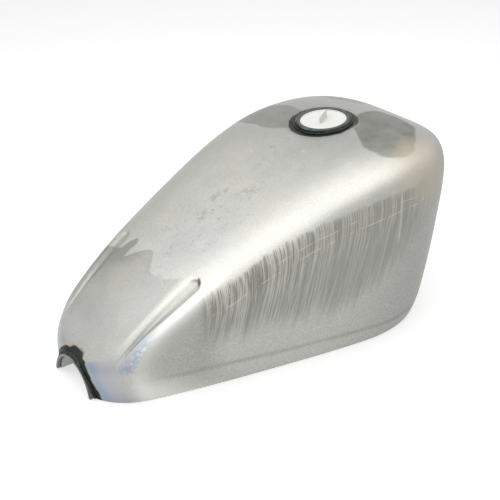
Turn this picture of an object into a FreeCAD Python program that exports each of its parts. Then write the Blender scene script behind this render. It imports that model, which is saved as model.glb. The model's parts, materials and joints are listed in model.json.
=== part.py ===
"""Bare steel motorcycle fuel tank: two pressed shell halves over an arched frame tunnel.

Frame: millimetres, +X to the rear, -Y is the rider's left, +Z up. The origin is under the middle
of the tank, on the plane of the bottom rim that the tank stands on.
"""
import FreeCAD, Part
import math
import os
import re
import Sketcher

Vector = FreeCAD.Vector
X_AXIS = Vector(1, 0, 0)
Y_AXIS = Vector(0, 1, 0)
Z_AXIS = Vector(0, 0, 1)

SIZES = {
    # overall
    "body_length": 495,
    "body_half_width": 147.8,
    "body_height": 219.6,
    "sheet": 1.5,
    # plan and crown shape: shares of the half width and height at six equal stations, nose to tail
    "plan_share_0": 0.453,
    "plan_share_1": 0.66,
    "plan_share_2": 0.815,
    "plan_share_3": 0.94,
    "plan_share_4": 1,
    "plan_share_5": 0.974,
    "crown_share_0": 0.145,
    "crown_share_1": 0.51,
    "crown_share_2": 0.749,
    "crown_share_3": 0.934,
    "crown_share_4": 1,
    "crown_share_5": 0.965,
    # rounding of the plan at nose and tail, and of the crown down to the leaning tail
    "nose_round_length": 63,
    "nose_squareness": 2.9,
    "tail_round_length": 178,
    "tail_squareness": 2.15,
    "tail_drop_length": 110,
    "tail_drop": 55,
    "tail_drop_squareness": 2.3,
    "tail_lean": 0.2,
    # section shape
    "widest_level_share": 0.547,
    "shoulder_squareness_nose": 3.4,
    "shoulder_squareness_tail": 4.6,
    "belly_share": 0.063,
    "tuck_share": 0.028,
    "crease_level_nose": 31.7,
    "crease_level_tail": 13.4,
    # shallow valley pressed beside the shoulder behind the nose
    "valley_depth": 1.6,
    "valley_start": 28,
    "valley_end": 150,
    "valley_angle": 63,
    # tunnel over the frame tube
    "arch_radius": 38.7,
    "arch_centre_drop": 4.8,
    "collar_wall": 3,
    "collar_length": 16,
    "collar_overhang": 1,
    "tail_collar_overhang": 1.5,
    "tunnel_foot": 0.8,
    "tunnel_setback": 3,
    "fit_gap": 0.15,
    # bottom pans and beads
    "pan_level": 6,
    "bead_leg": 2.6,
    "bead_height": 1.6,
    "seam_width": 1.5,
    # filler
    "filler_from_nose": 361.6,
    "filler_offset": 13.3,
    "neck_radius": 33.5,
    "neck_proud": 3,
    "neck_drop": 19,
    "throat_radius": 25,
    "seat_radius": 28,
    "seat_depth": 3,
    "neck_chamfer": 0.8,
    "plug_radius": 27.7,
    "plug_flange": 1.4,
    "plug_rim_height": 0.7,
    "plug_rim_width": 1.6,
    "plug_skirt_gap": 0.3,
    "plug_skirt_length": 9,
    "plug_wall": 1.4,
    "tab_length": 19.5,
    "tab_height": 10,
    "tab_thickness": 2.8,
    "tab_corner": 2.5,
    "tab_turn": 31,
    # fuel tap bung
    "bung_from_tail": 92,
    "bung_side": 78,
    "bung_radius": 14,
    "bung_bore": 7.15,
    "bung_below_pan": 4.5,
    "bung_above_pan": 12,
    "bung_chamfer": 1,
    # front mounting bosses
    "boss_from_nose": 44,
    "boss_offset": 16,
    "boss_level": 19,
    "boss_radius": 6.5,
    "boss_length": 24,
    "boss_bore": 3.4,
    "boss_bore_depth": 18,
    # rear mounting bracket
    "bracket_thickness": 3,
    "bracket_half_width": 16,
    "bracket_inside": 34,
    "bracket_outside": 24,
    "bracket_corner": 7,
    "bracket_hole": 4.25,
    "bracket_hole_edge": 12,
}

STATIONS = 6
GRID_ALONG = 41
GRID_LOWER = 9
GRID_UPPER = 18
SKIRT_BELOW_RIM = 8
SKIN_START = 1.0
CREASE_SOFTNESS = 3.0

doc = FreeCAD.newDocument("FuelTank")
sheet = doc.addObject("Spreadsheet::Sheet", "Sizes")
for row, (alias, number) in enumerate(SIZES.items(), start=1):
    sheet.set("A%d" % row, alias)
    sheet.set("B%d" % row, str(number))
    sheet.setAlias("B%d" % row, alias)
doc.recompute()


def size(alias):
    """The number in the spreadsheet cell with this alias."""
    return float(sheet.get(alias))


def bound(formula):
    """The formula as an expression, with each size read from its cell of the sheet."""
    def named(word):
        return "Sizes." + word.group() if word.group() in SIZES else word.group()

    return re.sub(r"[a-z]\w*", named, formula)


def value_of(formula):
    """The number that a formula in the sheet's sizes comes to."""
    result = sheet.evalExpression(bound(formula))
    return float(getattr(result, "Value", result))


def bind(item, **formulas):
    """Binds properties of a document object to formulas; x, y and z are its position."""
    for name, formula in formulas.items():
        path = "Placement.Base." + name if name in ("x", "y", "z") else name
        item.setExpression(path, bound(formula))
    return item


# ---------------------------------------------------------------- the pressed skin

NOSE_X = -size("body_length") / 2
SEAM_EDGE = size("seam_width") / 2


def station_curve(prefix, full_size):
    """Natural spline through the shares at equal stations, as a function of s from 0 to 1."""
    marks = [index / (STATIONS - 1) for index in range(STATIONS)]
    points = [Vector(mark, size("%s_%d" % (prefix, index)), 0) for index, mark in enumerate(marks)]
    curve = Part.BSplineCurve()
    curve.interpolate(Points=points, Parameters=marks)
    return lambda s: curve.value(s).y * full_size


plan_curve = station_curve("plan_share", size("body_half_width"))
crown_curve = station_curve("crown_share", size("body_height"))


def rounded_end(distance, reach, squareness):
    """Superellipse quarter: 0 at an end, 1 once the distance from the end reaches the reach."""
    part = max(0.0, 1 - distance / reach)
    return max(0.0, 1 - part ** squareness) ** (1 / squareness)


def half_width(s):
    length = size("body_length")
    nose = rounded_end(s * length, size("nose_round_length"), size("nose_squareness"))
    tail = rounded_end((1 - s) * length, size("tail_round_length"), size("tail_squareness"))
    return plan_curve(s) * nose * tail


def crown_height(s):
    length = size("body_length")
    tail = rounded_end((1 - s) * length, size("tail_drop_length"), size("tail_drop_squareness"))
    return crown_curve(s) - size("tail_drop") * (1 - tail)


TAIL_CROWN = crown_height(1.0)


def crease_height(s):
    """Level of the soft crease over the tucked-in bottom band, kept low where the nose is low."""
    along = size("crease_level_nose") + (size("crease_level_tail") - size("crease_level_nose")) * s
    low = 0.45 * crown_height(s)
    return (along ** -6 + low ** -6) ** (-1 / 6)


def soft_ramp(reach):
    return math.log1p(math.exp(reach / CREASE_SOFTNESS))


def valley(s, angle):
    """Depth of the pressed valley at this station and section angle, in degrees."""
    start = size("valley_start") / size("body_length")
    end = size("valley_end") / size("body_length")
    if not start < s < end:
        return 0.0
    along = math.sin(math.pi * ((s - start) / (end - start)) ** 0.6) ** 2
    across = math.exp(-((angle - size("valley_angle")) / 9) ** 2)
    return size("valley_depth") * along * across


def skin_point(s, step):
    """A point of the outer skin on the +Y half. Steps run from below the rim up to the crown."""
    width = half_width(s)
    top = crown_height(s)
    crease = crease_height(s)
    widest = max(size("widest_level_share") * top, 1.08 * crease)
    if step <= GRID_LOWER:
        rise = step / GRID_LOWER
        bend = crease / widest
        blend = 0.35 * rise + 0.65 * rise ** (math.log(bend) / math.log(0.45))
        level = -SKIRT_BELOW_RIM + (widest + SKIRT_BELOW_RIM) * blend
        belly = size("belly_share") * (1 - level / widest) ** 2
        tuck = size("tuck_share") * soft_ramp(crease - level) / soft_ramp(crease)
        side = width * (1 - belly - tuck)
    else:
        angle = (step - GRID_LOWER) / GRID_UPPER * math.pi / 2
        power = size("shoulder_squareness_nose") * (1 - s) + size("shoulder_squareness_tail") * s
        reach = (math.cos(angle) ** power + math.sin(angle) ** power) ** (-1 / power)
        sunk = valley(s, math.degrees(angle))
        side = (width * reach - sunk) * math.cos(angle)
        level = widest + ((top - widest) * reach - sunk) * math.sin(angle)
    lean = size("tail_lean") * (level - TAIL_CROWN) * max(0.0, (s - 0.3) / 0.7) ** 2
    if step == GRID_LOWER + GRID_UPPER or s >= 1:
        side = 0.0
    return Vector(NOSE_X + size("body_length") * s + lean, SEAM_EDGE + side, level)


def stations():
    """Shares of the length, close together at both rounded ends."""
    first = SKIN_START / size("body_length")
    last = GRID_ALONG - 1
    return [first + (1 - first) * (1 - math.cos(math.pi * i / last)) / 2 for i in range(GRID_ALONG)]


STEPS = range(GRID_LOWER + GRID_UPPER + 1)
GRID = [[skin_point(s, step) for step in STEPS] for s in stations()]


def outer_surface():
    surface = Part.BSplineSurface()
    surface.interpolate(GRID)
    return surface


OUTER = outer_surface()


def outward(point):
    """Unit normal of the outer surface at one of its points, kept in the middle plane on the edge."""
    normal = OUTER.normal(*OUTER.parameter(point))
    if point.y == SEAM_EDGE:
        normal.y = 0
    away = Vector(0.2 * point.x, point.y, point.z - 60)
    return (normal if normal.dot(away) > 0 else -normal).normalize()


def offset_surface(depth):
    """The skin moved inwards by a depth, interpolated through the moved grid."""
    surface = Part.BSplineSurface()
    surface.interpolate([[point - outward(point) * depth for point in line] for line in GRID])
    return surface


def corner_edges(surface):
    """The four boundary curves of a surface as edges: nose, tail, rim, crown."""
    u_low, u_high, v_low, v_high = surface.bounds()
    return [
        surface.uIso(u_low).toShape(),
        surface.uIso(u_high).toShape(),
        surface.vIso(v_low).toShape(),
        surface.vIso(v_high).toShape(),
    ]


def solid_of(faces):
    shell = Part.makeShell(faces)
    shell.sewShape(0.01)
    solid = Part.makeSolid(shell.Shells[0] if shell.ShapeType != "Shell" else shell)
    if solid.Volume < 0:
        solid.reverse()
    return solid


def mirrored(shape):
    return shape.mirror(Vector(0, 0, 0), Y_AXIS)


def sheet_half(depth):
    """Solid half skin between the outer surface and one a sheet's thickness inside it."""
    inner = offset_surface(depth)
    faces = [OUTER.toShape(), inner.toShape()]
    for outer_edge, inner_edge in zip(corner_edges(OUTER), corner_edges(inner)):
        faces.append(Part.makeRuledSurface(outer_edge, inner_edge))
    return solid_of(faces)


def seam_strip(depth):
    """The strip between the two halves, over the crown and down the tail."""
    nose, tail, rim, crown = zip(corner_edges(OUTER), corner_edges(offset_surface(depth)))
    across = Vector(0, -size("seam_width"), 0)
    runs = [Part.makeRuledSurface(*pair).extrude(across) for pair in (crown, tail)]
    return runs[0].fuse(runs[1])


def full_body(depth):
    """Closed solid bounded by the skin moved inwards by a depth, open nowhere."""
    surface = offset_surface(depth) if depth else OUTER
    faces = [surface.toShape(), mirrored(surface.toShape())]
    for edge in corner_edges(surface):
        faces.append(Part.makeRuledSurface(edge, mirrored(edge)))
    return solid_of(faces)


# ---------------------------------------------------------------- construction shapes

REACH = "1.2 * body_length"
REACH_START = "-body_length * 0.6"
TUNNEL_OUTER = "(arch_radius - collar_wall - fit_gap)"
TUNNEL_INNER = "(arch_radius - collar_wall - fit_gap - sheet)"
TAIL_WALL_AT_RIM = "(body_length / 2 - tail_lean * (crown_share_5 * body_height - tail_drop))"
ALONG_X = FreeCAD.Rotation(Y_AXIS, 90)


def fixed_shape(name, shape):
    """A document object that holds a freely formed skin solid."""
    item = doc.addObject("Part::Feature", name)
    item.Shape = shape
    item.Placement = FreeCAD.Placement()
    return item


def block(name, length, width, height, x, y, z):
    item = doc.addObject("Part::Box", name)
    return bind(item, Length=length, Width=width, Height=height, x=x, y=y, z=z)


def cross_block(name, length, height, x, z):
    """A block that reaches past both sides of the tank."""
    return block(name, length, "4 * body_half_width", height, x, "-2 * body_half_width", z)


def lengthwise_rod(name, radius, x, length):
    """A cylinder along the tunnel's axis."""
    item = doc.addObject("Part::Cylinder", name)
    item.Placement.Rotation = ALONG_X
    return bind(item, Radius=radius, Height=length, x=x, y="0", z="-arch_centre_drop")


def joined(name, *items):
    item = doc.addObject("Part::MultiFuse", name)
    item.Shapes = list(items)
    return item


def shared(name, *items):
    item = doc.addObject("Part::MultiCommon", name)
    item.Shapes = list(items)
    return item


def trimmed(name, base, tool):
    item = doc.addObject("Part::Cut", name)
    item.Base = base
    item.Tool = tool
    return item


def filler_placement():
    """Seat of the filler neck: on the skin, tilted along the tank with it."""
    x = NOSE_X + size("filler_from_nose")
    y = size("filler_offset")
    upright = Part.Line(Vector(x, y, 0), Vector(x, y, size("body_height")))
    crossing = max(OUTER.intersect(upright)[0], key=lambda point: point.Z)
    seat = Vector(x, y, crossing.Z)
    normal = OUTER.normal(*OUTER.parameter(seat))
    if normal.z < 0:
        normal = -normal
    tilt = math.degrees(math.atan2(normal.x, normal.z))
    return FreeCAD.Placement(seat, FreeCAD.Rotation(Y_AXIS, tilt))


FILLER = filler_placement()

half_skin = sheet_half(size("sheet"))
right_skin = fixed_shape("RightSkin", half_skin)
left_skin = fixed_shape("LeftSkin", mirrored(half_skin))
outer_body = fixed_shape("OuterBody", full_body(0))
grown_body = fixed_shape("GrownBody", full_body(-size("bead_height")))
cavity = fixed_shape("Cavity", full_body(size("sheet") + size("fit_gap")))
inner_cavity = fixed_shape("InnerCavity", full_body(size("sheet") + size("fit_gap") + size("bead_leg")))

below_rim = cross_block("BelowRim", REACH, "body_height / 2", REACH_START, "-body_height / 2")
below_foot = cross_block(
    "BelowFoot", REACH, "body_height / 2", REACH_START, "tunnel_foot - body_height / 2"
)
arch_bore = lengthwise_rod("ArchBore", "arch_radius + fit_gap", REACH_START, REACH)
neck_bore = doc.addObject("Part::Cylinder", "NeckBore")
bind(neck_bore, Radius="neck_radius + fit_gap", Height="body_height / 2")
below_neck = Vector(0, 0, -size("body_height") / 4)
neck_bore.Placement = FILLER.multiply(FreeCAD.Placement(below_neck, FreeCAD.Rotation()))

# the slanted plane at which the tunnel and its tail collar are cut off
behind_tail = doc.addObject("Part::Box", "BehindTail")
bind(behind_tail, Length="body_length", Width="4 * body_half_width", Height="body_height")
tail_lean_angle = math.degrees(math.atan(size("tail_lean")))
tail_foot = Vector(value_of(TAIL_WALL_AT_RIM + " + tail_collar_overhang"), 0, 0)
box_corner = Vector(0, -2 * size("body_half_width"), -size("body_height") / 2)
behind_tail.Placement = FreeCAD.Placement(
    tail_foot, FreeCAD.Rotation(Y_AXIS, tail_lean_angle)
).multiply(FreeCAD.Placement(box_corner, FreeCAD.Rotation()))

# ---------------------------------------------------------------- shell halves and centre seam

NODES = []


def node(item, label):
    """Marks a document object as a sub-part of the tank."""
    item.Label = label
    NODES.append(item)
    return item


openings = joined("SkinOpenings", below_rim, arch_bore, neck_bore)
node(trimmed("ShellLeft", left_skin, openings), "shell_left")
node(trimmed("ShellRight", right_skin, openings), "shell_right")

seam = trimmed("Seam", fixed_shape("SeamStrip", seam_strip(size("sheet"))), openings)
ahead_of_neck = cross_block(
    "AheadOfNeck", "filler_from_nose + body_length * 0.1", "2 * body_height",
    REACH_START, "-body_height / 2",
)
node(shared("SeamFront", seam, ahead_of_neck), "seam_weld_front")
node(trimmed("SeamRear", seam, ahead_of_neck), "seam_weld_rear")


# ---------------------------------------------------------------- tunnel and collars


def arch(name, outer, inner, x, length):
    """An arched channel over the frame tube, open below."""
    ring = trimmed(name + "Ring", lengthwise_rod(name + "Rod", outer, x, length),
                   lengthwise_rod(name + "Bore", inner, x, length))
    return trimmed(name + "Arch", ring, below_foot)


def boss_bore(name, y):
    """The hole in the tunnel roof that a front boss stands in."""
    item = doc.addObject("Part::Cylinder", name)
    return bind(item, Radius="boss_radius + fit_gap", Height="body_height / 4", x=BOSS_X, y=y, z="0")


BOSS_X = "(boss_from_nose - body_length / 2)"
boss_bores = [boss_bore("BossBoreLeft", "-boss_offset"), boss_bore("BossBoreRight", "boss_offset")]

tunnel_arch = arch(
    "Tunnel", TUNNEL_OUTER, TUNNEL_INNER, "-body_length / 2 + tunnel_setback", "body_length"
)
tunnel_cut = joined("TunnelCutters", behind_tail, *boss_bores)
node(trimmed("TunnelPiece", tunnel_arch, tunnel_cut), "tunnel")

front_arch = arch(
    "FrontCollar", "arch_radius", "arch_radius - collar_wall",
    "-body_length / 2 - collar_overhang", "collar_length + collar_overhang",
)
node(front_arch, "front_collar")
TAIL_COLLAR_START = TAIL_WALL_AT_RIM + " - collar_length"
rear_arch = arch(
    "RearCollar", "arch_radius", "arch_radius - collar_wall", TAIL_COLLAR_START, "body_length / 4"
)
node(trimmed("RearCollarPiece", rear_arch, behind_tail), "rear_collar")

# ---------------------------------------------------------------- bottom pans and their beads

tunnel_clearance = joined(
    "TunnelClearance",
    lengthwise_rod("TunnelRoom", TUNNEL_OUTER + " + fit_gap", REACH_START, REACH),
    lengthwise_rod(
        "FrontCollarRoom", "arch_radius + fit_gap",
        REACH_START, "body_length * 0.1 + collar_length + fit_gap",
    ),
    lengthwise_rod(
        "RearCollarRoom", "arch_radius + fit_gap", TAIL_COLLAR_START + " - fit_gap", "body_length"
    ),
)
pan_slab = cross_block("PanSlab", REACH, "sheet", REACH_START, "pan_level")
bung_bore = doc.addObject("Part::Cylinder", "BungBore")
BUNG_X = "(body_length / 2 - bung_from_tail)"
bind(bung_bore, Radius="bung_radius + fit_gap", Height="body_height / 4", x=BUNG_X, y="-bung_side", z="0")
pans = trimmed(
    "Pans", shared("PanBlank", pan_slab, cavity), joined("PanCutters", tunnel_clearance, bung_bore)
)
left_side = block(
    "LeftSide", REACH, "2 * body_half_width", "2 * body_height",
    REACH_START, "-2 * body_half_width", "-body_height / 2",
)


def sides(name, item, label):
    """Splits a mirrored pair into its left and right nodes."""
    node(shared(name + "Left", item, left_side), label + "_left")
    node(trimmed(name + "Right", item, left_side), label + "_right")


sides("Pan", pans, "pan")

BEAD_LEVEL = "pan_level - bead_leg - fit_gap"
bead_slab = cross_block("BeadSlab", REACH, "bead_leg", REACH_START, BEAD_LEVEL)
rim_band = trimmed("RimBand", shared("RimBlank", bead_slab, cavity), inner_cavity)
sides("RimWeld", trimmed("RimBeads", rim_band, tunnel_clearance), "rim_weld")

between_collars = cross_block(
    "BetweenCollars", TAIL_COLLAR_START + " + body_length / 2 - collar_length - 2 * fit_gap", "bead_leg",
    "collar_length + fit_gap - body_length / 2", BEAD_LEVEL,
)
tunnel_band = trimmed(
    "TunnelBand",
    shared(
        "TunnelBandBlank",
        lengthwise_rod(
            "TunnelBandRod", TUNNEL_OUTER + " + fit_gap + bead_leg", "-body_length / 2", "body_length"
        ),
        between_collars,
    ),
    lengthwise_rod("TunnelBandRoom", TUNNEL_OUTER + " + fit_gap", REACH_START, REACH),
)
sides("TunnelWeld", tunnel_band, "tunnel_weld")


# ---------------------------------------------------------------- beads round the collars and neck


def surface_bead(name, label, outer_tool, inner_tool):
    """A bead lying on the skin between two round tools."""
    ring = trimmed(name + "Ring", outer_tool, inner_tool)
    raised = trimmed(name + "Raised", shared(name + "Shared", grown_body, ring), outer_body)
    return node(trimmed(name, raised, below_foot), label)


surface_bead(
    "NoseWeld", "nose_weld",
    lengthwise_rod("NoseWeldRod", "arch_radius + bead_leg", "-body_length * 0.55", "body_length * 0.15"),
    lengthwise_rod("NoseWeldBore", "arch_radius", REACH_START, "body_length * 0.25"),
)
surface_bead(
    "TailWeld", "tail_weld",
    lengthwise_rod("TailWeldRod", "arch_radius + bead_leg", "body_length * 0.35", "body_length * 0.2"),
    lengthwise_rod("TailWeldBore", "arch_radius", "body_length * 0.3", "body_length * 0.3"),
)


def neck_rod(name, radius):
    item = doc.addObject("Part::Cylinder", name)
    item.Placement = neck_bore.Placement
    return bind(item, Radius=radius, Height="body_height / 2")


surface_bead(
    "FillerWeld", "filler_weld",
    neck_rod("FillerWeldRod", "neck_radius + bead_leg"),
    neck_rod("FillerWeldBore", "neck_radius"),
)


# ---------------------------------------------------------------- turned and plate pieces


def new_body(name, label):
    return node(doc.addObject("PartDesign::Body", name), label)


def outline(body, name, role, corners):
    """Closed sketch through corners given as formulas, on one of the body's own origin planes."""
    sketch = body.newObject("Sketcher::SketchObject", name)
    plane = next(item for item in body.Origin.OriginFeatures if item.Role == role)
    sketch.AttachmentSupport = [(plane, "")]
    sketch.MapMode = "FlatFace"
    spots = [Vector(value_of(across), value_of(up), 0) for across, up in corners]
    count = len(spots)
    for index, spot in enumerate(spots):
        sketch.addGeometry(Part.LineSegment(spot, spots[(index + 1) % count]), False)
    for index in range(count):
        sketch.addConstraint(Sketcher.Constraint("Coincident", index, 2, (index + 1) % count, 1))
    for index, (across, up) in enumerate(corners):
        for kind, formula in (("DistanceX", across), ("DistanceY", up)):
            number = value_of(formula)
            place = sketch.addConstraint(Sketcher.Constraint(kind, -1, 1, index, 1, number))
            sketch.setExpression("Constraints[%d]" % place, bound(formula))
    return sketch


def turn(body, name, corners):
    """Revolves a radius and height outline about the body's Z axis."""
    sketch = outline(body, name + "Outline", "XZ_Plane", corners)
    feature = body.newObject("PartDesign::Revolution", name)
    feature.Profile = sketch
    feature.ReferenceAxis = (sketch, ["V_Axis"])
    feature.Angle = 360
    return feature


neck = new_body("FillerNeck", "filler_neck")
turn(neck, "NeckTurned", [
    ("throat_radius", "-neck_drop"),
    ("neck_radius", "-neck_drop"),
    ("neck_radius", "neck_proud - neck_chamfer"),
    ("neck_radius - neck_chamfer", "neck_proud"),
    ("seat_radius", "neck_proud"),
    ("seat_radius", "neck_proud - seat_depth"),
    ("throat_radius", "neck_proud - seat_depth"),
])
neck.Placement = FILLER

SKIRT_RADIUS = "(throat_radius - plug_skirt_gap)"
plug = new_body("FillerPlug", "filler_plug")
turn(plug, "PlugTurned", [
    ("0", "0"),
    (SKIRT_RADIUS + " - plug_wall", "0"),
    (SKIRT_RADIUS + " - plug_wall", "-plug_skirt_length"),
    (SKIRT_RADIUS, "-plug_skirt_length"),
    (SKIRT_RADIUS, "0"),
    ("plug_radius", "0"),
    ("plug_radius", "plug_flange + plug_rim_height"),
    ("plug_radius - plug_rim_width", "plug_flange + plug_rim_height"),
    ("plug_radius - plug_rim_width", "plug_flange"),
    ("0", "plug_flange"),
])
TAB_TOP = "plug_flange + tab_height"
tab_sketch = outline(plug, "TabOutline", "XZ_Plane", [
    ("-tab_length / 2", "plug_flange / 2"),
    ("tab_length / 2", "plug_flange / 2"),
    ("tab_length / 2", TAB_TOP + " - tab_corner"),
    ("tab_length / 2 - tab_corner", TAB_TOP),
    ("tab_corner - tab_length / 2", TAB_TOP),
    ("-tab_length / 2", TAB_TOP + " - tab_corner"),
])
tab = plug.newObject("PartDesign::Pad", "Tab")
tab.Profile = tab_sketch
tab.SideType = "Symmetric"
bind(tab, Length="tab_thickness")
plug.Placement = FILLER.multiply(FreeCAD.Placement(
    Vector(0, 0, size("neck_proud") - size("seat_depth")), FreeCAD.Rotation(Z_AXIS, size("tab_turn"))
))

bung = new_body("TapBung", "petcock_bung")
turn(bung, "BungTurned", [
    ("bung_bore", "-bung_below_pan"),
    ("bung_radius - bung_chamfer", "-bung_below_pan"),
    ("bung_radius", "bung_chamfer - bung_below_pan"),
    ("bung_radius", "bung_above_pan"),
    ("bung_bore", "bung_above_pan"),
])
bung_seat = Vector(value_of(BUNG_X), -size("bung_side"), size("pan_level"))
bung.Placement = FreeCAD.Placement(bung_seat, FreeCAD.Rotation())

bung_bead = new_body("TapBungWeld", "petcock_weld")
turn(bung_bead, "BungBeadTurned", [
    ("bung_radius", "-bead_leg"),
    ("bung_radius + bead_leg", "-fit_gap"),
    ("bung_radius", "-fit_gap"),
])
bung_bead.Placement = bung.Placement

for side, word in ((-1, "left"), (1, "right")):
    boss = new_body("FrontBoss" + word.title(), "front_boss_" + word)
    turn(boss, "BossTurned" + word.title(), [
        ("boss_bore", "0"),
        ("boss_radius", "0"),
        ("boss_radius", "boss_length"),
        ("0", "boss_length"),
        ("0", "boss_bore_depth"),
        ("boss_bore", "boss_bore_depth"),
    ])
    boss_mouth = Vector(value_of(BOSS_X), side * size("boss_offset"), size("boss_level"))
    boss.Placement = FreeCAD.Placement(boss_mouth, FreeCAD.Rotation())

ROOF_OVER_BRACKET = "(sqrt(%s ^ 2 - bracket_half_width ^ 2) - arch_centre_drop - fit_gap)" % TUNNEL_INNER
BRACKET_Z = ROOF_OVER_BRACKET + " - bracket_thickness"
bracket = new_body("RearBracket", "rear_bracket")
plate = bracket.newObject("PartDesign::Pad", "BracketPlate")
plate.Profile = outline(bracket, "BracketOutline", "XY_Plane", [
    ("-bracket_inside", "-bracket_half_width"),
    ("bracket_outside - bracket_corner", "-bracket_half_width"),
    ("bracket_outside", "bracket_corner - bracket_half_width"),
    ("bracket_outside", "bracket_half_width - bracket_corner"),
    ("bracket_outside - bracket_corner", "bracket_half_width"),
    ("-bracket_inside", "bracket_half_width"),
])
bind(plate, Length="bracket_thickness")
eye_sketch = bracket.newObject("Sketcher::SketchObject", "BracketEyeOutline")
eye_sketch.AttachmentSupport = [(next(i for i in bracket.Origin.OriginFeatures if i.Role == "XY_Plane"), "")]
eye_sketch.MapMode = "FlatFace"
eye_spot = Vector(value_of("bracket_outside - bracket_hole_edge"), 0, 0)
eye_sketch.addGeometry(Part.Circle(eye_spot, Z_AXIS, size("bracket_hole")), False)
for constraint, formula in (
    (Sketcher.Constraint("Radius", 0, size("bracket_hole")), "bracket_hole"),
    (Sketcher.Constraint("DistanceX", -1, 1, 0, 3, eye_spot.x), "bracket_outside - bracket_hole_edge"),
):
    eye_sketch.setExpression("Constraints[%d]" % eye_sketch.addConstraint(constraint), bound(formula))
eye_sketch.addConstraint(Sketcher.Constraint("PointOnObject", 0, 3, -1))
eye = bracket.newObject("PartDesign::Pocket", "BracketEye")
eye.Profile = eye_sketch
eye.Reversed = True
bind(eye, Length="bracket_thickness")
TUNNEL_END = TAIL_WALL_AT_RIM + " + tail_collar_overhang + tail_lean * " + ROOF_OVER_BRACKET
bracket.Placement = FreeCAD.Placement(
    Vector(value_of(TUNNEL_END), 0, value_of(BRACKET_Z)), FreeCAD.Rotation()
)

bracket_beads = []
roof_room = lengthwise_rod("RoofRoom", TUNNEL_INNER + " - fit_gap", "0", "body_length")
bead_sides = (
    ("Left", "-bracket_half_width - fit_gap - bead_leg"),
    ("Right", "bracket_half_width + fit_gap"),
)
for word, y in bead_sides:
    strip = block(
        "BracketBeadStrip" + word, "bracket_inside - 2 * fit_gap", "bead_leg", "bracket_thickness",
        TUNNEL_END + " - bracket_inside + fit_gap", y, BRACKET_Z,
    )
    bracket_beads.append(shared("BracketBead" + word, strip, roof_room))
beads = doc.addObject("Part::Compound", "BracketBeads")
beads.Links = bracket_beads
node(beads, "bracket_welds")

# ---------------------------------------------------------------- checks and export

doc.recompute()
faults = [item.Name for item in doc.Objects if "Invalid" in item.State or "Error" in item.State]
for item in NODES:
    if item.Shape.isNull() or not item.Shape.isValid() or not item.Shape.Solids:
        faults.append(item.Label)
if faults:
    raise RuntimeError("failed objects: " + ", ".join(faults))

os.makedirs("parts", exist_ok=True)
for item in NODES:
    item.Shape.exportStep("parts/%s.step" % item.Label)
    box = item.Shape.BoundBox
    print("%-18s %d solid(s) %9.0f mm3  x %.1f..%.1f  y %.1f..%.1f  z %.1f..%.1f" % (
        item.Label, len(item.Shape.Solids), item.Shape.Volume,
        box.XMin, box.XMax, box.YMin, box.YMax, box.ZMin, box.ZMax,
    ))
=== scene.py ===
"""Looks of the bare steel motorcycle fuel tank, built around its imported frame."""
import json
import math

import bmesh
import bpy
from mathutils import Matrix, Vector, noise


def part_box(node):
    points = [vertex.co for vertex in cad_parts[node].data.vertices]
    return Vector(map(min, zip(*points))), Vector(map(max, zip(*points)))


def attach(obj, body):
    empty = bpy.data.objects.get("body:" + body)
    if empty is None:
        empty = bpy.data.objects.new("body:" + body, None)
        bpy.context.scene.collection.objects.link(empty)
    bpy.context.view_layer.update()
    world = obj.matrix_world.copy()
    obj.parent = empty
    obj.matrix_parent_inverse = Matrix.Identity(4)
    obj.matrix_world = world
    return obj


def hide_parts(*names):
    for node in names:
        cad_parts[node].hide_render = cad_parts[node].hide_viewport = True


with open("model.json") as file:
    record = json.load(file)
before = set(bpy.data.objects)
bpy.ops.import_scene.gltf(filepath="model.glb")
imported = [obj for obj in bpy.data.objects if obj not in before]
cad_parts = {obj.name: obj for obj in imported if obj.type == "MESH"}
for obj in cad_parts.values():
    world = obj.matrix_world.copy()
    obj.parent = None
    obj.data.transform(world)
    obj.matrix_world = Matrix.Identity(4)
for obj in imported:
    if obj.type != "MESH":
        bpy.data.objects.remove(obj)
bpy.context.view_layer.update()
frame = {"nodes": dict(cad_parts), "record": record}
NODES = frame["nodes"]
MOUNTS = {mount["name"]: mount for mount in frame["record"]["mounts"]}
FILLER = Vector(MOUNTS["filler_mouth"]["pos_m"])
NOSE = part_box("shell_left")[0].x
ARCH_CENTRE = -0.0048
ARCH_RADIUS = 0.0387

# pressed groove: its distance from the middle plane grows with x
GROOVE_SIDE = 0.0872
GROOVE_SPREAD = 0.122
GROOVE_NARROWEST = 0.0030
GROOVE_WIDENING = 0.0085
# each pair is where a fade is 0 and where it is 1
GROOVE_WIDENS = (-0.218, -0.142)
GROOVE_CLOSES = (-0.1250, -0.1345)
GROOVE_START = (-0.232, -0.200)
GROOVE_END = (-0.1255, -0.1300)
GROOVE_FOOT = (0.035, 0.050)
RIDGE_OFFSET = 0.0150
RIDGE_WIDTH = 0.0110
RIDGE_START = (-0.226, -0.205)
RIDGE_END = (-0.095, -0.130)
# crease near the foot: its level falls with x, and it fades out at the nose
CREASE_LEVEL = 0.0225
CREASE_SLOPE = -0.0370
CREASE_FADE = (-0.225, -0.180)


# ------------------------------------------------------------------ node graph helpers

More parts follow.
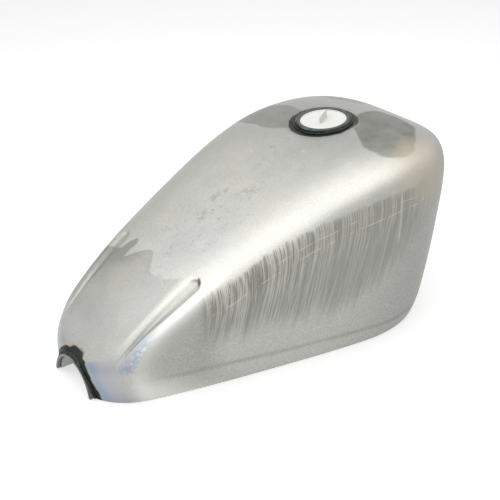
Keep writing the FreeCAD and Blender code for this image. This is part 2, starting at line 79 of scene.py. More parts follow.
class Graph:
    """A material's node tree with short calls; positions are in the tank's own frame, in metres."""

    def __init__(self, name):
        self.material = bpy.data.materials.new(name)
        self.material.use_nodes = True
        self.tree = self.material.node_tree
        self.shader = self.tree.nodes["Principled BSDF"]
        self.place = self.add("ShaderNodeTexCoord").outputs["Object"]
        parts = self.add("ShaderNodeSeparateXYZ")
        self.put(parts.inputs[0], self.place)
        self.x, self.y, self.z = parts.outputs

    def add(self, kind, **settings):
        node = self.tree.nodes.new(kind)
        for key, value in settings.items():
            setattr(node, key, value)
        return node

    def put(self, socket, value):
        if isinstance(value, bpy.types.NodeSocket):
            self.tree.links.new(value, socket)
        else:
            socket.default_value = value

    def math(self, operation, first, second=0.0, third=0.0):
        node = self.add("ShaderNodeMath", operation=operation)
        for socket, value in zip(node.inputs, (first, second, third)):
            self.put(socket, value)
        return node.outputs[0]

    def sum(self, *values):
        total = values[0]
        for value in values[1:]:
            total = self.math("ADD", total, value)
        return total

    def product(self, *values):
        total = values[0]
        for value in values[1:]:
            total = self.math("MULTIPLY", total, value)
        return total

    def scaled(self, value, factor, shift=0.0):
        return self.math("MULTIPLY_ADD", value, factor, shift)

    def invert(self, value):
        return self.math("SUBTRACT", 1.0, value)

    def step(self, value, start, end):
        """0 at start and beyond, 1 at end and beyond, smooth between."""
        node = self.add("ShaderNodeMapRange", interpolation_type="SMOOTHSTEP")
        for index, number in enumerate((value, start, end, 0.0, 1.0)):
            self.put(node.inputs[index], number)
        return node.outputs[0]

    def near(self, value, centre, width):
        """1 where the value is at the centre, 0 from one width away."""
        away = self.math("ABSOLUTE", self.math("SUBTRACT", value, centre))
        return self.step(away, width, 0.0)

    def stretched(self, stretch, shift=(0.0, 0.0, 0.0), turn=(0.0, 0.0, 0.0)):
        node = self.add("ShaderNodeMapping")
        self.put(node.inputs["Vector"], self.place)
        node.inputs["Scale"].default_value = stretch
        node.inputs["Location"].default_value = shift
        node.inputs["Rotation"].default_value = turn
        return node.outputs[0]

    def vector(self, x, y, z):
        node = self.add("ShaderNodeCombineXYZ")
        for socket, value in zip(node.inputs, (x, y, z)):
            self.put(socket, value)
        return node.outputs[0]

    def noise(self, scale, detail=2.0, rough=0.5, vector=None, distort=0.0):
        node = self.add("ShaderNodeTexNoise")
        self.put(node.inputs["Vector"], vector or self.place)
        node.inputs["Scale"].default_value = scale
        node.inputs["Detail"].default_value = detail
        node.inputs["Roughness"].default_value = rough
        node.inputs["Distortion"].default_value = distort
        return node.outputs[0]

    def mix(self, share, first, second):
        """Colour mix."""
        node = self.add("ShaderNodeMix", data_type="RGBA")
        self.put(node.inputs[0], share)
        for socket, value in ((node.inputs[6], first), (node.inputs[7], second)):
            self.put(socket, value if isinstance(value, bpy.types.NodeSocket) else (*value, 1.0))
        return node.outputs[2]

    def shade(self, colour, factor):
        """Colour multiplied by a number."""
        node = self.add("ShaderNodeVectorMath", operation="SCALE")
        self.put(node.inputs[0], colour)
        self.put(node.inputs["Scale"], factor)
        return node.outputs[0]

    def blend(self, share, first, second):
        """Number mix."""
        node = self.add("ShaderNodeMix", data_type="FLOAT")
        for socket, value in zip(node.inputs[:4], (share, None, first, second)):
            if value is not None:
                self.put(socket, value)
        return node.outputs[0]

    def finish(self, colour, roughness, height=None, metallic=1.0, depth=0.0002):
        self.put(self.shader.inputs["Base Color"], colour)
        self.put(self.shader.inputs["Roughness"], roughness)
        self.put(self.shader.inputs["Metallic"], metallic)
        if height is not None:
            bump = self.add("ShaderNodeBump")
            bump.inputs["Strength"].default_value = 1.0
            bump.inputs["Distance"].default_value = depth
            self.put(bump.inputs["Height"], height)
            self.put(self.shader.inputs["Normal"], bump.outputs[0])
        return self.material

    def spot(self, centre, reach, turn, ragged, edge, scale=30.0):
        """Ragged patch on the top, 1 inside: an ellipse in plan with half sizes, turned in plan."""
        cosine, sine = math.cos(turn), math.sin(turn)
        along_x = self.math("SUBTRACT", self.x, centre[0])
        along_y = self.math("SUBTRACT", self.y, centre[1])
        first = self.sum(self.scaled(along_x, cosine / reach[0]), self.scaled(along_y, sine / reach[0]))
        second = self.sum(self.scaled(along_x, -sine / reach[1]), self.scaled(along_y, cosine / reach[1]))
        radius = self.math("SQRT", self.sum(self.product(first, first), self.product(second, second)))
        uneven = self.scaled(self.noise(scale, 2.0, 0.5), ragged, -0.5 * ragged)
        return self.step(self.sum(radius, uneven), 1.0 + edge, 1.0 - edge)


# ------------------------------------------------------------------ materials

WARM_STEEL = (0.430, 0.428, 0.396)
COOL_STEEL = (0.418, 0.421, 0.406)
BLASTED = (0.470, 0.470, 0.442)
GROUND = (0.300, 0.301, 0.280)
STAIN = (0.190, 0.192, 0.172)
SCALE_BLACK = (0.022, 0.026, 0.024)
DULL_BLUE = (0.085, 0.105, 0.110)
RUST = (0.17, 0.075, 0.035)
STRAW = (0.44, 0.38, 0.24)
BLUE = (0.26, 0.32, 0.42)
LAVENDER = (0.36, 0.37, 0.43)
PLASTIC_WHITE = (0.80, 0.80, 0.772)


def shell_steel():
    """Bare pressed sheet: satin top, ground and blasted sides, stains, heat tint at nose and filler, and
    painted shade and highlight at the groove, crease and rear top.
    """
    g = Graph("shell_bare_steel")
    broad = g.noise(9.0, 3.0, 0.55)
    mottle = g.noise(42.0, 4.0, 0.6)
    grain = g.noise(1500.0, 2.0, 0.7)
    speckle = g.noise(480.0, 2.0, 0.7)
    coarse = g.noise(640.0, 3.0, 0.8)
    side = g.math("ABSOLUTE", g.y)

    colour = g.mix(g.step(broad, 0.38, 0.62), WARM_STEEL, COOL_STEEL)
    colour = g.shade(colour, g.scaled(mottle, 0.20, 0.90))
    colour = g.shade(colour, g.scaled(coarse, 0.70, 0.65))
    roughness = g.scaled(mottle, 0.12, 0.27)
    height = g.sum(g.scaled(grain, 0.25), g.scaled(coarse, 2.6))

    # level of the line under the shoulder, where the ground side begins
    from_middle = g.scaled(g.x, 1 / 0.115, -0.006 / 0.115)
    bulge = g.math("MAXIMUM", g.invert(g.product(from_middle, from_middle)), 0.0)
    nose_drop = g.scaled(g.step(g.x, -0.125, -0.178), -0.024)
    line = g.sum(g.scaled(g.x, 0.278, 0.1500), g.scaled(bulge, 0.016), nose_drop)
    under = g.math("SUBTRACT", line, g.z)
    ragged = g.scaled(g.noise(70.0, 3.0, 0.6), 0.008, -0.004)
    on_side = g.step(side, 0.050, 0.066)
    below_line = g.product(g.step(g.sum(under, ragged), -0.002, 0.002), on_side)

    # blasted wall: pale, matte and speckled
    blasted = g.product(g.step(g.sum(under, g.scaled(ragged, 1.6)), -0.012, 0.022), on_side)
    colour = g.mix(g.product(blasted, 0.85), colour, g.shade(BLASTED, g.scaled(speckle, 0.95, 0.52)))
    # the blasted wall is darker towards the rear
    rear_wall_darkening = g.product(blasted, g.step(g.x, -0.020, 0.150))
    colour = g.shade(colour, g.scaled(rear_wall_darkening, -0.26, 1.0))
    roughness = g.blend(blasted, roughness, g.scaled(speckle, 0.16, 0.44))
    height = g.sum(height, g.product(blasted, g.scaled(speckle, 0.9)))

    # vertical grinding streaks
    lean = g.vector(g.sum(g.x, g.scaled(g.z, -0.22)), g.scaled(g.y, 0.05), g.scaled(g.z, 0.022))
    streaks = g.noise(760.0, 3.0, 0.80, vector=lean)
    wide = g.noise(150.0, 1.0, 0.5, vector=lean)
    rear_rise = g.scaled(g.math("MAXIMUM", g.math("SUBTRACT", g.x, 0.028), 0.0), 0.70, 0.066)
    floor_level = g.sum(rear_rise, g.scaled(g.noise(30.0, 2.0, 0.5), 0.016, -0.008),
                        g.scaled(wide, 0.026, -0.013))
    above_floor = g.step(g.math("SUBTRACT", g.z, floor_level), -0.022, 0.020)
    from_front = g.step(g.sum(g.x, g.scaled(wide, 0.030, -0.015)), -0.156, -0.124)
    from_rear = g.step(g.sum(g.x, ragged), 0.168, 0.110)
    ground = g.product(below_line, above_floor, from_front, from_rear)
    top_fade = g.step(under, 0.060, 0.0)
    lines = g.step(g.sum(g.scaled(streaks, 0.84), g.scaled(wide, 0.16)), 0.44, 0.58)
    frontness = g.step(g.x, 0.060, -0.080)
    contrast = g.product(g.blend(top_fade, 0.50, 0.90), g.scaled(frontness, 0.35, 0.55))
    streak_tone = g.sum(0.95, g.product(contrast, g.scaled(lines, 0.95, -0.36)))
    ground_colour = g.shade(g.mix(g.product(top_fade, 0.35), GROUND, (0.40, 0.395, 0.330)), streak_tone)
    colour = g.mix(g.product(ground, 0.95), colour, ground_colour)
    roughness = g.blend(ground, roughness, g.scaled(streaks, 0.16, 0.36))
    height = g.sum(height, g.product(ground, g.scaled(streaks, 1.6)))

    # two long faint scratches through the ground zone, and a pale rub behind it
    for drop, strength in ((0.0105, 0.55), (0.0195, 0.75)):
        wave = g.scaled(g.noise(14.0, 2.0), 0.006, -0.003)
        line_mark = g.near(g.sum(under, wave), drop, 0.0007)
        shifted = g.stretched((1.0, 1.0, 0.1), (drop * 90, 0, 0))
        broken = g.step(g.noise(60.0, 2.0, 0.6, vector=shifted), 0.44, 0.56)
        mark = g.product(line_mark, broken, ground, strength)
        colour = g.mix(mark, colour, (0.62, 0.62, 0.59))
    rub = g.product(g.near(g.sum(g.x, g.scaled(g.z, -0.12)), 0.0765, 0.0030), g.step(g.z, 0.118, 0.140),
                    g.step(g.z, 0.186, 0.170), on_side, g.step(streaks, 0.35, 0.60))
    colour = g.mix(g.product(rub, 0.6), colour, (0.60, 0.60, 0.57))

    # painted shade along the crease: a soft dark line; paler band under it
    crease = g.scaled(g.x, CREASE_SLOPE, CREASE_LEVEL)
    crease_painted_shade = g.near(g.z, g.sum(crease, g.scaled(g.noise(20.0), 0.003, -0.0015)), 0.0048)
    creased = g.step(g.x, *CREASE_FADE)
    crease_painted_shade = g.product(crease_painted_shade, g.scaled(mottle, 0.8, 0.35), on_side, creased)
    # painted shade: the crease line darkens the colour
    colour = g.shade(colour, g.scaled(crease_painted_shade, -0.20, 1.0))
    foot = g.product(g.step(g.math("SUBTRACT", crease, g.z), 0.0, 0.008), creased)
    colour = g.shade(colour, g.scaled(foot, 0.08, 1.0))

    # scratches and pits along the top, densest between nose and filler
    band = g.product(g.near(g.y, -0.004, 0.075), g.step(g.x, -0.175, -0.090), g.step(g.x, 0.125, 0.040))
    for index, angle in enumerate((0.35, -0.75, 1.25)):
        drawn = g.stretched((1.0, 0.045, 0.045), (0.3 * index, 0.1, 0), (0, 0, angle))
        fine = g.noise(900.0, 1.0, 0.5, vector=drawn)
        shifted = g.stretched((1, 1, 1), (0.17 * index, 0, 0))
        gate = g.step(g.noise(75.0, 2.0, 0.5, vector=shifted), 0.54, 0.66)
        mark = g.product(g.step(fine, 0.66, 0.74), gate, g.scaled(band, 0.85, 0.15), g.invert(on_side))
        colour = g.mix(g.product(mark, 0.65), colour, (0.27, 0.27, 0.26) if index < 2 else (0.72, 0.72, 0.70))
        height = g.sum(height, g.product(mark, -2.0))
    pits = g.step(g.noise(330.0, 1.0, 0.5), 0.690, 0.740)
    pits = g.product(pits, g.scaled(band, 0.85, 0.15), g.step(g.noise(33.0, 3.0, 0.6), 0.42, 0.56))
    colour = g.mix(g.product(pits, 0.75), colour, (0.16, 0.155, 0.14))
    height = g.sum(height, g.product(pits, -3.0))
    smudge = g.product(g.step(g.noise(55.0, 5.0, 0.7), 0.56, 0.68), band)
    colour = g.shade(colour, g.scaled(smudge, -0.22, 1.0))

    # rear of the top is darker
    top = g.invert(g.step(side, 0.100, 0.122))
    # painted shade: this darkening stands in for the darker surroundings that the rear top reflects
    rear = g.product(g.step(g.x, -0.080, 0.120), top, g.step(g.z, 0.150, 0.190))
    colour = g.shade(colour, g.scaled(rear, -0.10, 1.0))

    # dark matte stains
    stains = (
        ((0.150, -0.054), (0.062, 0.037), math.radians(56.0), 0.62, 0.050, 0.90),
        ((0.086, 0.086), (0.030, 0.056), 0.10, 0.75, 0.060, 0.62),
        ((0.196, 0.064), (0.026, 0.035), 0.60, 0.70, 0.060, 0.40),
    )
    for centre, reach, turn, wild, edge, strength in stains:
        patch = g.product(g.spot(centre, reach, turn, wild, edge, 19.0), g.step(g.z, 0.155, 0.175), strength)
        colour = g.mix(patch, colour, g.shade(STAIN, g.scaled(mottle, 1.1, 0.45)))
        roughness = g.blend(patch, roughness, 0.46)
    tan = g.spot((0.150, -0.116), (0.048, 0.024), 0.35, 0.8, 0.60, 19.0)
    colour = g.mix(g.product(tan, g.step(g.z, 0.150, 0.180), 0.55), colour, (0.46, 0.405, 0.315))

    # dull front of the top, behind a scalloped tide line
    lobes = g.math("ABSOLUTE", g.scaled(g.noise(17.0, 1.0, 0.4), 2.0, -1.0))
    fringe = g.scaled(g.noise(120.0, 2.0), 0.006, -0.003)
    front_edge = g.sum(g.scaled(lobes, 0.060, -0.150), g.scaled(g.y, -0.02), fringe)
    behind_line = g.math("SUBTRACT", front_edge, g.x)
    frontal = g.product(g.step(behind_line, -0.0008, 0.0016), g.step(g.y, -0.056, -0.048),
                        g.step(g.z, 0.052, 0.066))
    far_side = g.step(g.y, -0.030, 0.060)
    near_side = g.step(g.y, 0.020, -0.020)
    tide = g.product(frontal, g.step(behind_line, 0.050, 0.0), g.scaled(far_side, 0.20, 0.05))
    dulled = g.product(frontal, g.scaled(far_side, -0.06, -0.09))
    colour = g.shade(colour, g.sum(1.0, dulled, g.scaled(tide, -1.0)))
    roughness = g.blend(g.product(frontal, 0.6), roughness, 0.46)

    # pressed groove beside the shoulder and the ridge outside it, which pressed_depth shapes; their colours
    # are painted shade in the groove, along its edge, at its tip and under the ridge, and painted highlight
    # on the ridge and the groove's rim
    groove = g.math("SUBTRACT", side, g.scaled(g.x, GROOVE_SPREAD, GROOVE_SIDE))
    widening = g.product(g.step(g.x, *GROOVE_WIDENS), g.step(g.x, *GROOVE_CLOSES))
    half_width = g.scaled(widening, GROOVE_WIDENING, GROOVE_NARROWEST)
    along_groove = g.product(g.step(g.x, *GROOVE_START), g.step(g.x, *GROOVE_END), g.step(g.z, *GROOVE_FOOT))
    groove_painted_shade = g.product(g.near(groove, 0.0, half_width), along_groove)
    along_ridge = g.product(g.step(g.x, *RIDGE_START), g.step(g.x, *RIDGE_END))
    ridge = g.product(g.near(groove, RIDGE_OFFSET, RIDGE_WIDTH), along_ridge)
    # painted shade darkening the groove
    colour = g.mix(g.product(groove_painted_shade, 0.50), colour, (0.30, 0.298, 0.262))
    # painted highlight along the ridge, on the near side
    colour = g.mix(g.product(ridge, near_side, 0.55), colour, (0.82, 0.82, 0.78))
    # painted shade in the band under the ridge
    below_ridge_painted_shade = g.product(g.near(groove, 0.0330, 0.0140), g.step(g.x, *RIDGE_START),
                            g.step(g.x, -0.110, -0.150))
    colour = g.shade(colour, g.scaled(below_ridge_painted_shade, -0.26, 1.0))
    # painted highlight on the groove's near rim
    groove_rim_painted_highlight = g.product(g.near(groove, -0.0100, 0.0055), along_groove, near_side, 0.34)
    colour = g.mix(groove_rim_painted_highlight, colour, (0.66, 0.645, 0.545))
    # painted shade: dark line along the groove's edge
    groove_edge_painted_shade = g.near(g.math("SUBTRACT", groove, g.scaled(half_width, 0.55)), 0.0, 0.0011)
    groove_edge_painted_shade = g.product(groove_edge_painted_shade, along_groove, g.step(g.x, -0.192, -0.176), near_side, 0.45)
    colour = g.mix(groove_edge_painted_shade, colour, (0.12, 0.12, 0.105))
    # painted shade at the groove's rounded tip
    groove_tip_painted_shade = g.spot((-0.1275, -0.0725), (0.0040, 0.0016), 1.1, 0.8, 0.2, 300.0)
    colour = g.mix(g.product(groove_tip_painted_shade, near_side, 0.8), colour, (0.10, 0.10, 0.09))

    # heat tint and weld scale round the tunnel's mouth, at nose and tail
    rise = g.math("SUBTRACT", g.z, ARCH_CENTRE)
    arch = g.math("SQRT", g.sum(g.product(g.y, g.y), g.product(rise, rise)))
    far = g.math("SUBTRACT", arch, ARCH_RADIUS)
    for end, strength in ((g.step(g.x, -0.196, -0.214), 1.0), (g.step(g.x, 0.165, 0.190), 0.8)):
        uneven = g.scaled(g.noise(100.0, 3.0, 0.5), 0.0060, -0.0030)
        spread = g.sum(far, uneven)
        tint = g.product(end, g.step(spread, 0.050, 0.012), g.scaled(near_side, 0.5, 0.5), strength)
        low = g.step(g.math("SUBTRACT", g.z, g.scaled(side, 0.36, 0.0300)), 0.0010, -0.0015)
        colour = g.mix(g.product(tint, low, 0.90), colour, g.mix(g.step(far, 0.012, 0.026), BLUE, LAVENDER))
        straw = g.product(end, g.near(spread, 0.0105, 0.0036), 0.32)
        colour = g.mix(straw, colour, STRAW)
        rust = g.product(end, g.near(spread, 0.0076, 0.0030), g.step(g.noise(60.0, 3.0, 0.6), 0.50, 0.64))
        colour = g.mix(g.product(rust, 0.70), colour, RUST)
        scale = g.product(end, g.step(spread, 0.0086, 0.0070))
        colour = g.mix(scale, colour, g.shade(SCALE_BLACK, g.scaled(mottle, 2.4, 0.2)))
        roughness = g.blend(scale, roughness, 0.48)
        height = g.sum(height, g.product(scale, g.scaled(g.noise(420.0, 3.0, 0.7), 3.0)))
    brushed = g.stretched((0.16, 1.0, 1.0), turn=(0, 0, 0.12))
    feather = g.step(g.noise(210.0, 3.0, 0.6, vector=brushed), 0.38, 0.56)
    shoulder = g.product(g.near(groove, 0.0100, 0.0100), g.step(g.x, -0.176, -0.208),
                         g.step(g.z, 0.036, 0.044))
    colour = g.mix(g.product(shoulder, near_side, g.scaled(feather, 0.60, 0.15)), colour, (0.25, 0.33, 0.47))
    # lower flank at the nose darkened: partly heat discoloration, partly painted shade of the shadowed floor
    # it reflects
    flank_tint_and_painted_shade = g.product(g.step(g.x, -0.150, -0.215), g.step(groove, 0.008, 0.026), g.step(g.z, 0.012, 0.040))
    colour = g.shade(colour, g.scaled(flank_tint_and_painted_shade, -0.26, 1.0))

    # scale ring round the filler
    off_x = g.math("SUBTRACT", g.x, FILLER.x)
    off_y = g.math("SUBTRACT", g.y, FILLER.y)
    ring = g.math("SQRT", g.sum(g.product(off_x, off_x), g.product(off_y, off_y)))
    uneven = g.scaled(g.noise(60.0, 3.0, 0.55), 0.0070, -0.0035)
    on_top = g.step(g.z, 0.170, 0.180)
    burn = g.product(g.step(g.sum(ring, uneven), 0.0480, 0.0400), on_top)
    colour = g.mix(g.product(burn, 0.40), colour, (0.26, 0.245, 0.21))
    scale = g.product(g.step(g.sum(ring, uneven), 0.0418, 0.0404), on_top)
    colour = g.mix(scale, colour, g.shade(SCALE_BLACK, g.scaled(mottle, 3.0, 0.1)))
    roughness = g.blend(scale, roughness, 0.42)
    height = g.sum(height, g.product(scale, g.scaled(g.noise(330.0, 3.0, 0.7), 3.0)))
    return g.finish(colour, roughness, height, 1.0, 0.00010)


def plain_steel(name, base, rough, grain_scale, stretch=(1.0, 1.0, 1.0), stain=0.25, tint=None):
    """Bare steel of the smaller pieces: rolled or turned grain, blotches and a little heat tint."""
    g = Graph(name)
    grain = g.noise(grain_scale, 2.0, 0.6, vector=g.stretched(stretch))
    blotch = g.noise(55.0, 4.0, 0.65)
    colour = g.shade(base, g.scaled(grain, 0.30, 0.85))
    colour = g.mix(g.product(g.step(blotch, 0.50, 0.68), stain), colour, tuple(0.45 * part for part in base))
    if tint:
        colour = g.mix(g.product(g.step(g.noise(38.0, 3.0), 0.48, 0.66), 0.4), colour, tint)
    specks = g.step(g.noise(420.0, 1.0), 0.70, 0.76)
    colour = g.mix(g.product(specks, 0.5), colour, (0.13, 0.09, 0.06))
    height = g.sum(grain, g.product(specks, -1.5))
    return g.finish(colour, g.scaled(blotch, 0.22, rough - 0.11), height, 1.0, 0.00008)


def weld_metal(name, base, rough, tint, shine=0.5):
    """Raw bead: dark scale over the ripples, with heat colours and bright spatter."""
    g = Graph(name)
    fine = g.noise(520.0, 4.0, 0.7)
    patch = g.noise(120.0, 3.0, 0.6)
    colour = g.shade(base, g.scaled(fine, 1.5, 0.25))
    colour = g.mix(g.product(g.step(patch, 0.52, 0.66), 0.6), colour, tint)
    glint = g.step(g.noise(300.0, 2.0), 0.66, 0.72)
    colour = g.mix(g.product(glint, shine), colour, (0.42, 0.43, 0.43))
    return g.finish(colour, g.scaled(fine, 0.30, rough - 0.15), fine, 1.0, 0.00025)


def neck_steel():
    """Turned neck, dull blue-grey with a dark scaled rim edge."""
    g = Graph("neck_turned_steel")
    off_x = g.math("SUBTRACT", g.x, FILLER.x)
    off_y = g.math("SUBTRACT", g.y, FILLER.y)
    ring = g.math("SQRT", g.sum(g.product(off_x, off_x), g.product(off_y, off_y)))
    turning = g.math("SINE", g.scaled(ring, 9000.0))
    blotch = g.noise(90.0, 4.0, 0.65)
    colour = g.shade(DULL_BLUE, g.scaled(blotch, 1.2, 0.4))
    brown = g.product(g.near(ring, 0.0292, 0.0016), g.step(blotch, 0.42, 0.60), 0.7)
    colour = g.mix(brown, colour, (0.20, 0.135, 0.085))
    dark = g.product(g.step(ring, 0.0300, 0.0312), g.step(g.noise(60.0, 3.0), 0.36, 0.56), 0.75)
    colour = g.mix(dark, colour, SCALE_BLACK)
    height = g.sum(g.scaled(turning, 0.3), g.scaled(blotch, 3.0))
    return g.finish(colour, g.scaled(blotch, 0.25, 0.26), height, 1.0, 0.00008)


def plug_plastic():
    """White moulded plastic, faintly warm, with a satin moulded grain and light scuffs."""
    g = Graph("plug_white_plastic")
    cloud = g.noise(60.0, 3.0)
    grain = g.noise(1400.0, 2.0, 0.6)
    drawn = g.stretched((1.0, 0.08, 1.0), turn=(0, 0, 0.6))
    scuff = g.step(g.noise(500.0, 1.0, 0.5, vector=drawn), 0.68, 0.75)
    colour = g.mix(g.step(cloud, 0.35, 0.70), PLASTIC_WHITE, (0.76, 0.765, 0.725))
    colour = g.mix(g.product(scuff, 0.25), colour, (0.66, 0.65, 0.62))
    height = g.sum(grain, g.scaled(scuff, -1.0))
    material = g.finish(colour, g.scaled(cloud, 0.16, 0.36), height, 0.0, 0.00006)
    g.shader.inputs["Subsurface Weight"].default_value = 0.12
    g.shader.inputs["Subsurface Radius"].default_value = (0.004, 0.004, 0.0035)
    g.shader.inputs["Subsurface Scale"].default_value = 1.0
    return material


SHELL = shell_steel()
SHEET = plain_steel("sheet_rolled_steel", (0.42, 0.42, 0.41), 0.40, 260.0, (0.05, 1.0, 1.0), 0.35,
                    (0.40, 0.36, 0.30))
COLLAR = plain_steel("collar_scaled_steel", (0.17, 0.18, 0.17), 0.36, 700.0, (1.0, 1.0, 0.2), 0.45,
                     (0.07, 0.08, 0.08))
FITTING = plain_steel("fitting_turned_steel", (0.52, 0.52, 0.51), 0.30, 900.0, (0.2, 0.2, 1.0), 0.20)
BRACKET = plain_steel("bracket_plate_steel", (0.46, 0.46, 0.45), 0.38, 500.0, (0.08, 1.0, 1.0), 0.30)
SCALED_WELD = weld_metal("weld_black_scale", (0.035, 0.042, 0.038), 0.45, (0.12, 0.065, 0.035), 0.35)
RAW_WELD = weld_metal("weld_raw", (0.20, 0.195, 0.185), 0.42, (0.16, 0.13, 0.12))
NECK = neck_steel()
PLUG = plug_plastic()

FINISHES = {
    "shell_left": SHELL,
    "shell_right": SHELL,
    "seam_weld_front": SHELL,
    "seam_weld_rear": SHELL,
    "tunnel": SHEET,
    "pan_left": SHEET,
    "pan_right": SHEET,
    "front_collar": COLLAR,
    "rear_collar": COLLAR,
    "filler_neck": NECK,
    "filler_plug": PLUG,
    "petcock_bung": FITTING,
    "front_boss_left": FITTING,
    "front_boss_right": FITTING,
    "rear_bracket": BRACKET,
    "nose_weld": SCALED_WELD,
    "tail_weld": SCALED_WELD,
    "filler_weld": SCALED_WELD,
    "petcock_weld": RAW_WELD,
    "bracket_welds": RAW_WELD,
    "rim_weld_left": RAW_WELD,
    "rim_weld_right": RAW_WELD,
    "tunnel_weld_left": RAW_WELD,
    "tunnel_weld_right": RAW_WELD,
}


def dress(item, material):
    item.data.materials.clear()
    item.data.materials.append(material)


for node_name, finish in FINISHES.items():
    dress(NODES[node_name], finish)


# ------------------------------------------------------------------ pressed shells

# slivers of the CAD mesh never get all their edges this short, so the number of cuts is capped
FINE_EDGE = 0.0016
MOST_CUTS = 6
GROOVE_DEPTH = 0.0021
RIDGE_HEIGHT = 0.0010
CREASE_DEPTH = 0.0007
RIDGE_FOOT = (0.035, 0.045)
CREASE_SIDE = (0.050, 0.075)
CREASE_HALF_WIDTH = 0.005
CREASE_REACH = 0.006
PRESS_REACH = 0.030
# the mesh is cut finer a little beyond the pressed stretch
CUT_END = -0.090
CUT_INNER = -0.015
CUT_FOOT = 0.033
# level inside the shell, from which its outer skin faces away
SECTION_MIDDLE = 0.03
SLOPE_STEP = 0.0002


def ramp(value, start, end):
    """0 at start and beyond, 1 at end and beyond, smooth between."""
    share = min(max((value - start) / (end - start), 0.0), 1.0)
    return share * share * (3 - 2 * share)


def pressed_depth(point):
    """How far the sheet is pushed in here: groove and its outer ridge at the nose, crease near the foot."""
    offset = abs(point.y) - GROOVE_SIDE - GROOVE_SPREAD * point.x
    depth = 0.0
    if point.x < RIDGE_END[0] and abs(offset) < PRESS_REACH and point.z > GROOVE_FOOT[0]:
        widening = ramp(point.x, *GROOVE_WIDENS) * ramp(point.x, *GROOVE_CLOSES)
        half_width = GROOVE_NARROWEST + GROOVE_WIDENING * widening
        along = ramp(point.x, *GROOVE_START) * ramp(point.x, *GROOVE_END) * ramp(point.z, *GROOVE_FOOT)
        depth += GROOVE_DEPTH * along * ramp(abs(offset), half_width, 0.0)
        ridge = ramp(point.x, *RIDGE_START) * ramp(point.x, *RIDGE_END) * ramp(point.z, *RIDGE_FOOT)
        depth -= RIDGE_HEIGHT * ridge * ramp(abs(offset - RIDGE_OFFSET), RIDGE_WIDTH, 0.0)
    from_crease = abs(point.z - CREASE_LEVEL - CREASE_SLOPE * point.x)
    if from_crease < CREASE_REACH:
        along = ramp(point.x, *CREASE_FADE) * ramp(abs(point.y), *CREASE_SIDE)
        depth += CREASE_DEPTH * along * ramp(from_crease, CREASE_HALF_WIDTH, 0.0)
    return depth


def pressed_near(start, end):
    """Whether an edge crosses a stretch of sheet that the press has shaped."""
    for share in (0.0, 0.25, 0.5, 0.75, 1.0):
        point = start.lerp(end, share)
        offset = abs(point.y) - GROOVE_SIDE - GROOVE_SPREAD * point.x
        if point.x < CUT_END and CUT_INNER < offset < PRESS_REACH and point.z > CUT_FOOT:
            return True
        if abs(point.z - CREASE_LEVEL - CREASE_SLOPE * point.x) < CREASE_REACH:
            return True
    return False


def pressed_shell(node_name):
    """A shell half as pressed: the CAD half cut finer along groove and crease, and pushed in there."""
    mesh = NODES[node_name].data.copy()
    shell = bpy.data.objects.new(node_name + "_pressed", mesh)
    bpy.context.scene.collection.objects.link(shell)
    normals = [Vector() for vertex in mesh.vertices]
    for corner, normal in zip(mesh.loops, mesh.corner_normals):
        normals[corner.vertex_index] += normal.vector
    work = bmesh.new()
    work.from_mesh(mesh)
    kept = work.verts.layers.float_vector.new("cad_normal")
    for vertex, normal in zip(work.verts, normals):
        vertex[kept] = normal.normalized()
    for cut in range(MOST_CUTS):
        coarse = [edge for edge in work.edges if edge.calc_length() > FINE_EDGE
                  and pressed_near(edge.verts[0].co, edge.verts[1].co)]
        bmesh.ops.subdivide_edges(work, edges=coarse, cuts=1)
        bmesh.ops.triangulate(work, faces=[face for face in work.faces if len(face.verts) > 3])
    final = []
    for vertex in work.verts:
        normal = vertex[kept].normalized()
        facing = 1.0 if normal.dot(Vector((0, vertex.co.y, vertex.co.z - SECTION_MIDDLE))) > 0 else -1.0
        slope = Vector()
        for axis in range(3):
            step = Vector()
            step[axis] = SLOPE_STEP
            change = pressed_depth(vertex.co + step) - pressed_depth(vertex.co - step)
            slope[axis] = change / (2 * SLOPE_STEP)
        slope -= normal * slope.dot(normal)
        place = vertex.co - normal * facing * pressed_depth(vertex.co)
        final.append((place, (normal + slope * facing).normalized()))
    for vertex, (place, normal) in zip(work.verts, final):
        vertex.co = place
    work.to_mesh(mesh)
    work.free()
    mesh.attributes.remove(mesh.attributes["cad_normal"])
    mesh.normals_split_custom_set_from_vertices([normal for place, normal in final])
    dress(shell, FINISHES[node_name])
    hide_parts(node_name)
    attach(shell, "tank")


pressed_shell("shell_left")
pressed_shell("shell_right")


# ------------------------------------------------------------------ weld beads with ripples

def along_arch(point):
    """Distance along the arch over the tunnel."""
    return ARCH_RADIUS * math.atan2(point.y, point.z - ARCH_CENTRE)


def along_ring(centre, radius):
    return lambda point: radius * math.atan2(point.y - centre.y, point.x - centre.x)


def ripple_bead(node_name, along, voxel, pitch, ripple, lump, lump_size):
    """A welded bead: the CAD bead with overlapping ripples and lumps laid over it."""
    source = NODES[node_name]
    bead = bpy.data.objects.new(node_name + "_rippled", source.data.copy())
    bpy.context.scene.collection.objects.link(bead)
    remesh = bead.modifiers.new("remesh", "REMESH")
    remesh.mode = "VOXEL"
    remesh.voxel_size = voxel
    remesh.use_smooth_shade = True
    bpy.context.view_layer.update()
    solid = bpy.data.meshes.new_from_object(bead.evaluated_get(bpy.context.evaluated_depsgraph_get()))
    bead.modifiers.clear()
    bead.data = solid
    normals = [vertex.normal.copy() for vertex in solid.vertices]
    for vertex, normal in zip(solid.vertices, normals):
        turn = along(vertex.co) / pitch + 0.35 * noise.noise(vertex.co * 90)
        scallop = 1 - (turn - math.floor(turn)) ** 2
        rough = noise.noise(vertex.co / lump_size) + 0.5 * noise.noise(vertex.co / (0.4 * lump_size))
        vertex.co += normal * (ripple * (scallop - 0.5) + lump * rough)
    dress(bead, FINISHES[node_name])
    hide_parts(node_name)
    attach(bead, "tank")


